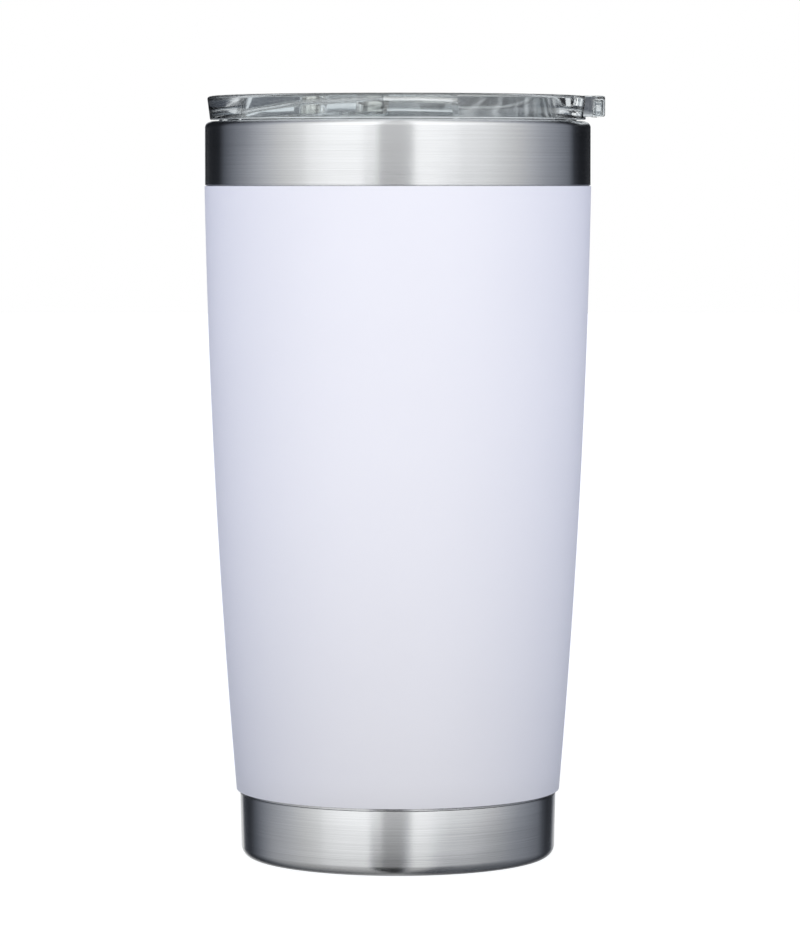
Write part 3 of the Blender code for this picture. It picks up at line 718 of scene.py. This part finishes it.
class MESH_OT_tumbler_base(Operator):
    """Model the pressed base cup and the cover disc in its recess"""

    bl_idname = "mesh.tumbler_base"
    bl_label = "Base"

    def execute(self, context):
        self.base_cup()
        self.cover_disc()
        return {"FINISHED"}

    def base_cup(self):
        cup = settings()[0]
        top, edge, sheet = cup.base_top, cup.base_edge, cup.base_sheet
        shoulder = radius_at("base_cup", top)
        neck = coat_radius(top) - cup.coat - 2 * cup.skin_gap - cup.sheet
        foot = (cup.band_foot - cup.foot_radius, cup.foot_radius)
        inner_foot = cup.band_foot - cup.foot_radius - cup.foot_width
        recess = DISC_HIGH.z + cup.skin_gap
        outline = [(neck, BASE_HIGH.z), (neck, top)]
        outline += arc((shoulder - edge, top - edge), edge, 90, 0, 5)
        outline += arc(foot, cup.foot_radius, 0, -90, 16)
        outline += arc((inner_foot, cup.foot_lip), cup.foot_lip, -90, -150, 4)
        outline += [(cup.recess_radius, recess), (cup.port_radius, recess), (cup.port_radius, recess + sheet)]
        outline += [(cup.recess_radius, recess + sheet), (inner_foot, sheet)]
        outline += arc(foot, cup.foot_radius - sheet, -90, 0, 8)
        outline += [(shoulder - sheet, top - 2 * sheet)]
        outline += [(neck - sheet, top - sheet), (neck - sheet, BASE_HIGH.z)]
        base = spun("steel_base_cup", outline, cup.sides, ring=True)
        finish(base, brushed_steel(), "cup", "brushed_steel", "base_cup")

    def cover_disc(self):
        """A disc with a shallow pressed ring near its rim and a faint tool mark in the middle."""
        cup = settings()[0]
        low, high, radius = DISC_LOW.z, DISC_HIGH.z, DISC_HIGH.x
        ring, width, depth, edge = 0.82 * radius, 0.5 * MM, 0.2 * MM, 0.2 * MM
        mark, dip = 1.2 * MM, 0.1 * MM
        outline = [(0.0, high), (radius, high)]
        outline += arc((radius - edge, low + edge), edge, 0, -90, 4)
        outline += [(ring + 2 * width, low), (ring + width, low + depth), (ring - width, low + depth)]
        outline += [(ring - 2 * width, low), (mark, low), (mark / 3, low + dip), (0.0, low + dip)]
        disc = spun("steel_cover_disc", outline, cup.sides)
        finish(disc, spun_steel(), "cup", "brushed_steel", "base_disc")


class MESH_OT_tumbler_liner(Operator):
    """Model the liner's wall and its dished bottom"""

    bl_idname = "mesh.tumbler_liner"
    bl_label = "Liner"

    def execute(self, context):
        self.wall()
        self.bottom()
        return {"FINISHED"}

    def wall(self):
        cup = settings()[0]
        top = WALL_HIGH.z
        mouth, sheet, inset = cup.mouth_radius, cup.sheet, cup.liner_inset
        roll = (mouth + cup.lip_radius, top - cup.lip_radius)
        seam = math.degrees(cup.lip_seam / cup.lip_radius)
        outline = arc(roll, cup.lip_radius - sheet, 90 + seam, 180, 6)
        outline += [(mouth + sheet, cup.mouth_bottom)]
        outline += side(inset - sheet, LINER_LOW.z, cup.shoulder_bottom)[::-1]
        outline += side(inset, LINER_LOW.z, cup.shoulder_bottom)
        outline += self.shoulder()
        outline += arc(roll, cup.lip_radius, 180, 90 + seam, 10)
        wall = spun("steel_liner_wall", outline, cup.sides, ring=True)
        finish(wall, satin_steel(), "cup", "liner_steel", "liner_wall")

    def shoulder(self):
        """The soft S curve between the liner's side and its mouth, seen inside the cup."""
        cup = settings()[0]
        low, high = cup.shoulder_bottom, cup.mouth_bottom
        start = coat_radius(low) - cup.liner_inset
        spans = 10
        points = []
        for i in range(1, spans + 1):
            part = i / spans
            ease = part * part * (3 - 2 * part)
            points.append((start + (cup.mouth_radius - start) * ease, low + (high - low) * part))
        return points

    def bottom(self):
        cup = settings()[0]
        low, top, sheet = FLOOR_LOW.z + cup.sheet, FLOOR_HIGH.z, cup.sheet
        inner = coat_radius(top) - cup.liner_inset
        corner = (inner - cup.liner_corner, low + cup.liner_corner)
        outline = [(0.0, low)]
        outline += arc(corner, cup.liner_corner, -90, 0, 16)
        outline += [(inner, top), (inner + sheet, top)]
        outline += arc(corner, cup.liner_corner + sheet, 0, -90, 16)
        outline += [(0.0, low - sheet)]
        bottom = spun("steel_liner_bottom", outline, cup.sides)
        finish(bottom, satin_steel(), "cup", "liner_steel", "liner_bottom")


class MESH_OT_tumbler_vacuum_parts(Operator):
    """Finish the heat shield, getter and vacuum seal, which stay as the frame has them"""

    bl_idname = "mesh.tumbler_vacuum_parts"
    bl_label = "Vacuum Parts"

    def execute(self, context):
        looks = {
            "copper_shield": copper_foil(),
            "copper_disc": copper_foil(),
            "getter_pellet": pressed_powder(),
            "getter_strap": satin_steel(),
            "vacuum_seal": seal_glass(),
        }
        for node, look in looks.items():
            slots = frame["nodes"][node].material_slots
            for slot in slots:
                slot.material = look
        return {"FINISHED"}


# ---------------------------------------------------------------- the lid


LID_MAGNETS = ("lid_magnet_front", "lid_magnet_middle", "lid_magnet_rear")
SLIDER_MAGNETS = ("slider_magnet_front", "slider_magnet_rear")
SOFT_EDGE = 0.15 * MM  # edges of the magnet cover and the seal
WELL_LEAN = 18  # degrees that the well's wall leans outwards


def lid_outline():
    """The lid's section: raised flange, sunken deck, and a skirt with the gasket's groove."""
    lid = settings()[1]
    top, flange, edge = LID_HIGH.z, -LID_LOW.x, lid.flange_edge
    deck, under = lid.deck_level, lid.deck_level - lid.deck_thickness
    lead, foot = lid.lead_in, lid.foot_edge
    outline = [(0.0, deck)]
    outline += arc((lid.deck_radius - lid.fillet, deck + lid.fillet), lid.fillet, -90, -WELL_LEAN, 8)
    outline += arc((lid.well_radius, top - lid.well_edge), lid.well_edge, 180 - WELL_LEAN, 90, 8)
    outline += arc((flange - edge, top - edge), edge, 90, 6, 8)
    outline += arc((lid.flange_foot - foot, lid.flange_bottom + foot), foot, 0, -90, 5)
    outline += [(lid.skirt_radius, lid.flange_bottom)]
    outline += [(lid.skirt_radius, lid.groove_top), (lid.groove_radius, lid.groove_top)]
    outline += [(lid.groove_radius, lid.groove_bottom), (lid.skirt_radius, lid.groove_bottom)]
    outline += [(lid.skirt_radius, LID_LOW.z + lead)]
    outline += arc((lid.skirt_radius - lead, LID_LOW.z + lead), lead, 0, -90, 6)[1:]
    outline += [(lid.skirt_inner, LID_LOW.z), (lid.skirt_inner - lid.skirt_draft, under), (0.0, under)]
    return outline


def track_end():
    """Where the slider's track ends, along X, with the slider pushed all the way back."""
    lid = settings()[1]
    travel = next(j["range_m"][1] for j in frame["joints"] if j["name"] == "slider_slide")
    return PLATE_HIGH.x + travel + lid.track_gap


def magnet_pocket(node, below):
    """A cutter for the pocket round a magnet, which is open downwards."""
    low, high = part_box(node)
    lid = settings()[1]
    centre, roof = (low.x + high.x) / 2, high.z + lid.track_gap
    return round_plate("pocket", centre, lid.magnet_pocket, low.z - below, roof, 0.0)


class MESH_OT_tumbler_lid(Operator):
    """Model the clear lid: flange, deck, skirt, lift tab, rails, openings and magnet block"""

    bl_idname = "mesh.tumbler_lid"
    bl_label = "Lid"

    def execute(self, context):
        lid = settings()[1]
        body = spun("clear_lid", lid_outline(), lid.sides)
        combine(body, "UNION", self.tab(), self.boss(), *self.rails())
        combine(body, "DIFFERENCE", self.sip(), self.vent(), self.tab_pocket(), *self.magnet_pockets())
        with editing(body):
            bpy.ops.mesh.remove_doubles(threshold=2 * TINY)
        finish(body, clear_plastic(), "lid", "clear_plastic", "lid_body")
        return {"FINISHED"}

    def tab(self):
        lid = settings()[1]
        half = lid.tab_width / 2
        low = (lid.tab_root, -half, lid.tab_bottom)
        tab = rounded_block("tab", low, (LID_HIGH.x, half, LID_HIGH.z), spans=8)
        with editing(tab):
            select(tab, "edges", lambda e: upright(e) and middle(e).x > LID_HIGH.x - TINY)
            bpy.ops.mesh.bevel(offset=lid.tab_corner, segments=10, affect="EDGES")
            flange = -LID_LOW.x
            select(tab, "edges", lambda e: not upright(e) and max(v.co.x for v in e.verts) > flange)
            bpy.ops.mesh.bevel(offset=lid.tab_edge, segments=4, affect="EDGES")
        return tab

    def tab_pocket(self):
        """The finger pocket under the tab, open below."""
        start, end, half, roof = 44.4 * MM, 46.0 * MM, 5.5 * MM, 175.0 * MM
        low = (start, -half, settings()[1].tab_bottom - MM)
        return rounded_block("tab_pocket", low, (end, half, roof), corner=0.5 * MM, edge=0.3 * MM)

    def boss(self):
        lid = settings()[1]
        half = lid.boss_width / 2
        low = (COVER_LOW.x, -half, COVER_HIGH.z + lid.track_gap)
        high = (COVER_HIGH.x, half, lid.deck_level - lid.deck_thickness / 2)
        return rounded_block("boss", low, high, corner=lid.boss_corner)

    def rails(self):
        """Two L-shaped rails and the low bar that stops the slider between them."""
        lid = settings()[1]
        deck, end, sunk = lid.deck_level, track_end(), 0.5 * MM
        lip = SHELL_HIGH.y + lid.track_gap
        wall = PLATE_HIGH.y + lid.track_gap
        made = []
        for side_ in (1, -1):
            near, far = sorted((side_ * lip, side_ * (wall + lid.rail_wall)))
            low = (lid.rail_start, near, deck - sunk)
            high = (end + lid.rail_wall, far, deck + lid.rail_top)
            rail = rounded_block("rail", low, high, edge=lid.rail_edge)
            near, far = sorted((side_ * (lip - sunk), side_ * wall))
            low = (lid.rail_start - sunk, near, deck - 2 * sunk)
            combine(rail, "DIFFERENCE", rounded_block("groove", low, (end, far, deck + lid.rail_lip)))
            made.append(rail)
        half = wall + lid.rail_wall / 2
        low = (end, -half, deck - sunk)
        high = (end + lid.rail_wall, half, deck + lid.rail_top - sunk)
        made.append(rounded_block("stop", low, high, edge=lid.rail_edge))
        return made

    def sip(self):
        lid = settings()[1]
        half, wide = lid.sip_length / 2, lid.sip_width / 2
        low = (lid.sip_centre - half, -wide, lid.deck_level - 2 * lid.deck_thickness)
        high = (lid.sip_centre + half, wide, lid.deck_level + lid.deck_thickness)
        return rounded_block("sip", low, high, corner=lid.sip_corner, spans=8)

    def vent(self):
        lid = settings()[1]
        low = lid.deck_level - 2 * lid.deck_thickness
        high = lid.deck_level + lid.deck_thickness
        return round_plate("vent", lid.vent_centre, lid.vent_radius, low, high, 0.0, 40)

    def magnet_pockets(self):
        return [magnet_pocket(node, 2 * MM) for node in LID_MAGNETS]


class MESH_OT_tumbler_lid_fittings(Operator):
    """Model the gasket, the magnet cover and the lid's magnets"""

    bl_idname = "mesh.tumbler_lid_fittings"
    bl_label = "Lid Fittings"

    def execute(self, context):
        self.gasket()
        corner = settings()[1].boss_corner
        cover = rounded_block("magnet_cover", COVER_LOW, COVER_HIGH, corner, SOFT_EDGE, "both")
        finish(cover, clear_plastic(), "lid", "clear_plastic", "lid_magnet_cover")
        for node in LID_MAGNETS:
            make_magnet(node, "lid")
        return {"FINISHED"}

    def gasket(self):
        """A ring with two soft lips that wipe the liner."""
        lid = settings()[1]
        low, high = GASKET_LOW.z, GASKET_HIGH.z
        inner, lip, waist = lid.groove_radius + 0.15 * MM, GASKET_HIGH.x, lid.gasket_waist
        soft = 0.33 * MM  # rounding of each lip
        outline = [(inner, high), (waist, high)]
        outline += arc((lip - soft, high - 1.3 * soft), soft, 80, -80, 8)
        outline += [(waist, (low + high) / 2)]
        outline += arc((lip - soft, low + 1.3 * soft), soft, 80, -80, 8)
        outline += [(waist, low), (inner, low)]
        ring = spun("gasket_ring", outline, lid.sides, ring=True)
        finish(ring, frosted_silicone(), "gasket", "clear_silicone", "lid_gasket", angle=40.0)


def make_magnet(node, body):
    low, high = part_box(node)
    centre, radius = (low.x + high.x) / 2, settings()[1].magnet_radius
    magnet = round_plate("nickel_" + node, centre, radius, low.z, high.z, 0.25 * MM, 64)
    finish(magnet, nickel_plate(), body, "nickel_plate", node)


# ---------------------------------------------------------------- the slider


class MESH_OT_tumbler_slider(Operator):
    """Model the slider: plate, shell with its grip, seal and two magnets"""

    bl_idname = "mesh.tumbler_slider"
    bl_label = "Slider"

    def execute(self, context):
        self.plate()
        self.shell()
        corner = settings()[1].seal_corner
        seal = rounded_block("silicone_seal", SEAL_LOW, SEAL_HIGH, corner, SOFT_EDGE, "both", 8)
        finish(seal, frosted_silicone(), "slider", "clear_silicone", "slider_seal")
        for node in SLIDER_MAGNETS:
            make_magnet(node, "slider")
        return {"FINISHED"}

    def plate(self):
        lid = settings()[1]
        corner, edge = lid.slider_corner, 0.2 * MM
        plate = rounded_block("clear_slider_plate", PLATE_LOW, PLATE_HIGH, corner, edge, "both", 8)
        room = Vector((0.15, 0.15, 0.15)) * MM
        low = SEAL_LOW - room - Vector((0.0, 0.0, MM))
        pocket = rounded_block("pocket", low, SEAL_HIGH + room, lid.seal_corner, spans=8)
        combine(plate, "DIFFERENCE", pocket)
        finish(plate, clear_plastic(), "slider", "clear_plastic", "slider_plate")

    def shell(self):
        """A rounded block with a row of soft ribs across it, hollowed for the magnets."""
        lid = settings()[1]
        corner, edge, top = lid.slider_corner, 0.7 * MM, lid.shell_top
        high = Vector((SHELL_HIGH.x, SHELL_HIGH.y, top))
        shell = rounded_block("clear_slider_shell", SHELL_LOW, high, corner, edge, "top", 8)
        ribs, pitch, first = 3, 2.6 * MM, SHELL_HIGH.x - 4.5 * MM
        thick, wide, sunk = 0.6 * MM, 6.5 * MM, 0.5 * MM
        for i in range(ribs):
            x = first - i * pitch
            low, high = (x - thick, -wide, top - sunk), (x + thick, wide, SHELL_HIGH.z)
            combine(shell, "UNION", rounded_block("rib", low, high, 0.55 * MM, 0.3 * MM))
        combine(shell, "DIFFERENCE", *(magnet_pocket(node, MM) for node in SLIDER_MAGNETS))
        finish(shell, clear_plastic(), "slider", "clear_plastic", "slider_shell")


# ---------------------------------------------------------------- the stage


# Brightness of the studio round the cup, by the turn from the camera's side in degrees. Two tall
# softboxes stand in front with a gap between them, pale walls fall off to the sides, dark flags stand
# behind the shoulders, and the wall at the back is white. Below eye level the gap is darker.
UPPER_LIGHT = (
    (-180, 1.0), (-174, 1.0), (-170, 0.014), (-133, 0.02), (-125, 0.15), (-103, 0.36), (-82, 0.78),
    (-58, 1.28), (-55, 1.50), (-40, 1.74), (-13, 1.80), (-10, 1.09), (8, 1.09), (11, 1.80), (35, 1.84),
    (38, 1.66), (55, 1.45), (72, 1.10), (98, 0.56), (123, 0.25), (130, 0.04), (140, 0.014), (170, 0.014),
    (174, 1.0), (180, 1.0),
)
LOWER_LIGHT = (
    (-180, 1.5), (-160, 1.2), (-154, 0.14), (-140, 0.08), (-126, 0.27), (-104, 0.84), (-72, 1.02),
    (-50, 1.30), (-22, 1.40), (-18, 0.02), (3, 0.02), (7, 0.7), (12, 1.25), (22, 1.0), (33, 0.2),
    (46, 0.38), (72, 0.36), (105, 0.40), (127, 0.30), (140, 0.09), (154, 0.10), (160, 0.7), (180, 1.5),
)
BRIGHTEST = 1.9  # no light above is brighter
EYE_LEVEL = {"From Min": -0.12, "From Max": -0.05}  # where the lower light gives way to the upper
# How the light falls off, by height of its direction from straight down, 0, to straight up, 1.
SKY = ((0.0, 0.32), (0.34, 0.46), (0.43, 0.68), (0.47, 1.0), (0.9, 1.0), (1.0, 0.8))
# What shows through the clear plastic towards the back, by the same height.
BACKDROP = (
    (0.0, (0.30, 0.33, 0.36)), (0.38, (0.30, 0.34, 0.37)), (0.42, (0.09, 0.10, 0.12)),
    (0.53, (0.09, 0.10, 0.12)), (0.58, (0.85, 0.88, 0.90)), (1.0, (1.0, 1.0, 1.0)),
)
SHADE_TINT = (0.84, 0.92, 1.10, 1.0)
LIGHT_TINT = (1.0, 1.0, 0.985, 1.0)
# What the matt surfaces see instead of the panels, from the back of the studio to its front.
FILL = (
    (0.0, (0.80, 0.84, 0.96)), (0.2, (0.50, 0.55, 0.74)), (0.42, (0.18, 0.25, 0.50)),
    (0.6, (0.28, 0.34, 0.53)), (0.8, (0.86, 0.87, 0.91)), (1.0, (1.95, 1.88, 1.74)),
)


DOME_RADIUS = 5.0
FLOOR_RADIUS = 4.5
FLOOR_LEVEL = -0.2 * MM
SHADE_RADIUS = 0.16
SHADE_LEVEL = -0.1 * MM
CAMERA_PLACE = (0.0005, -1.0486, 0.1552)
CAMERA_TILT = 3.62  # degrees down
LENS = 172.65
RAYS = ("camera", "diffuse", "glossy", "transmission", "shadow")


def stage_disc(name, radius, level, base, glow, strength, *rays):
    """A level glowing disc round the axis, which only the named rays meet."""
    deselect()
    place = (0.0, 0.0, level)
    bpy.ops.mesh.primitive_circle_add(vertices=96, radius=radius, fill_type="NGON", location=place)
    disc = bpy.context.object
    disc.name = name
    constants = {"Base Color": base, "Roughness": 0.9, "Emission Color": glow, "Emission Strength": strength}
    disc.data.materials.append(material(name, constants, lambda recipe: {}))
    seen_by(disc, *rays)


def seen_by(piece, *rays):
    for ray in RAYS:
        setattr(piece, "visible_" + ray, ray in rays)


class OBJECT_OT_tumbler_stage(Operator):
    """Set up the floor, the white surround, the studio light and the camera"""

    bl_idname = "object.tumbler_stage"
    bl_label = "Stage"

    def execute(self, context):
        self.surround()
        self.floor()
        self.shade()
        self.studio(context.scene)
        self.camera(context.scene)
        return {"FINISHED"}

    def surround(self):
        """A white shell all round, which only the camera sees."""
        deselect()
        bpy.ops.mesh.primitive_uv_sphere_add(segments=64, ring_count=32, radius=DOME_RADIUS)
        shell = bpy.context.object
        shell.name = "surround"
        white = bpy.data.materials.new("surround")
        white.use_nodes = True
        recipe = Recipe(white.node_tree)
        output = white.node_tree.nodes["Material Output"]
        recipe.put(output.inputs["Surface"], recipe.node("ShaderNodeEmission"))
        shell.data.materials.append(white)
        seen_by(shell, "camera")

    def floor(self):
        base, glow = (0.9, 0.9, 0.9, 1.0), (1.0, 1.0, 1.0, 1.0)
        stage_disc("floor", FLOOR_RADIUS, FLOOR_LEVEL, base, glow, 0.62, "camera", "diffuse")

    def shade(self):
        """A darker disc under the cup, met by matt light only, so that the coat darkens downwards."""
        base, glow = (0.02, 0.02, 0.03, 1.0), (0.92, 0.96, 1.0, 1.0)
        stage_disc("shade", SHADE_RADIUS, SHADE_LEVEL, base, glow, 0.45, "diffuse", "shadow")

    def studio(self, scene):
        """The studio as the steel and the clear plastic see it, and a soft even fill for all else."""
        world = bpy.data.worlds.new("studio")
        scene.world = world
        world.use_nodes = True
        recipe = Recipe(world.node_tree)
        direction = recipe.node("ShaderNodeTexCoord", out="Generated")
        x, y, z = (recipe.node("ShaderNodeSeparateXYZ", None, {0: direction}, out=axis) for axis in "XYZ")
        turn = recipe.node("ShaderNodeMath", {"operation": "ARCTAN2"}, {0: x, 1: y * -1.0}) / FULL_TURN + 0.5
        upper, lower = (self.panels(recipe, turn, light) for light in (UPPER_LIGHT, LOWER_LIGHT))
        level = recipe.node("ShaderNodeMapRange", None, {"Value": z, **EYE_LEVEL})
        both = recipe.blend(level, lower, upper)
        tint = recipe.blend(both, SHADE_TINT, LIGHT_TINT)
        height = z * 0.5 + 0.5
        sky = recipe.node("ShaderNodeValToRGB", {"stops": SKY}, {"Fac": height})
        seen = recipe.product(recipe.product(both, tint), sky)
        backdrop = recipe.node("ShaderNodeValToRGB", {"stops": BACKDROP}, {"Fac": height})
        behind = recipe.node("ShaderNodeMath", {"operation": "GREATER_THAN"}, {0: y, 1: -0.2})
        through = recipe.node("ShaderNodeLightPath", out="Is Transmission Ray")
        seen = recipe.blend(through * behind, seen, backdrop)
        fill = recipe.node("ShaderNodeValToRGB", {"stops": FILL}, {"Fac": 0.5 - y * 0.5})
        fill = recipe.product(fill, sky)
        soft = recipe.node("ShaderNodeLightPath", out="Is Diffuse Ray")
        background = world.node_tree.nodes["Background"]
        recipe.put(background.inputs["Color"], recipe.blend(soft, seen, fill))
        background.inputs["Strength"].default_value = 1.0
        world.cycles.sampling_method = "NONE"  # light sampling ignores the kinds of ray told apart above
        # Light runs a long way round inside the lid's flange before it comes out.
        scene.cycles.max_bounces = 24
        scene.cycles.glossy_bounces = 16
        scene.cycles.transmission_bounces = 20
        scene.view_settings.view_transform = "Standard"

    def panels(self, recipe, turn, light):
        """The brightness of one row of lights at a turn. A ramp's stops end at 1, so they are scaled."""
        stops = [(0.5 + angle / 360, value / BRIGHTEST) for angle, value in light]
        shape = recipe.node("ShaderNodeValToRGB", {"stops": stops}, {"Fac": turn})
        return recipe.product(shape, (BRIGHTEST, BRIGHTEST, BRIGHTEST, 1.0))

    def camera(self, scene):
        deselect()
        pitch = math.radians(90 - CAMERA_TILT)
        bpy.ops.object.camera_add(location=CAMERA_PLACE, rotation=(pitch, 0.0, 0.0))
        camera = bpy.context.object
        camera.data.lens = LENS
        camera.data.sensor_width = 36.0
        scene.camera = camera


# ---------------------------------------------------------------- panel and registration

STEPS = (
    MESH_OT_tumbler_outer_wall,
    MESH_OT_tumbler_coat,
    MESH_OT_tumbler_base,
    MESH_OT_tumbler_liner,
    MESH_OT_tumbler_vacuum_parts,
    MESH_OT_tumbler_lid,
    MESH_OT_tumbler_lid_fittings,
    MESH_OT_tumbler_slider,
    OBJECT_OT_tumbler_stage,
)


class VIEW3D_PT_tumbler(Panel):
    """Lists the tumbler's operators and settings"""

    bl_label = "Insulated Tumbler"
    bl_idname = "VIEW3D_PT_tumbler"
    bl_space_type = "VIEW_3D"
    bl_region_type = "UI"
    bl_category = "Tumbler"

    def draw(self, context):
        for step in STEPS:
            self.layout.operator(step.bl_idname)
        for group in settings():
            box = self.layout.box()
            for name in group.bl_rna.properties.keys():
                if name not in ("rna_type", "name"):
                    box.prop(group, name)


CLASSES = (CupSizes, LidSizes, TumblerFinishes, *STEPS, VIEW3D_PT_tumbler)


def register():
    for cls in CLASSES:
        bpy.utils.register_class(cls)
    bpy.types.Scene.tumbler_cup = PointerProperty(type=CupSizes)
    bpy.types.Scene.tumbler_lid = PointerProperty(type=LidSizes)
    bpy.types.Scene.tumbler_finishes = PointerProperty(type=TumblerFinishes)


def unregister():
    del bpy.types.Scene.tumbler_finishes
    del bpy.types.Scene.tumbler_lid
    del bpy.types.Scene.tumbler_cup
    for cls in reversed(CLASSES):
        bpy.utils.unregister_class(cls)


def main():
    register()
    for step in STEPS:
        group, name = step.bl_idname.split(".")
        getattr(getattr(bpy.ops, group), name)()


if __name__ == "__main__":
    main()
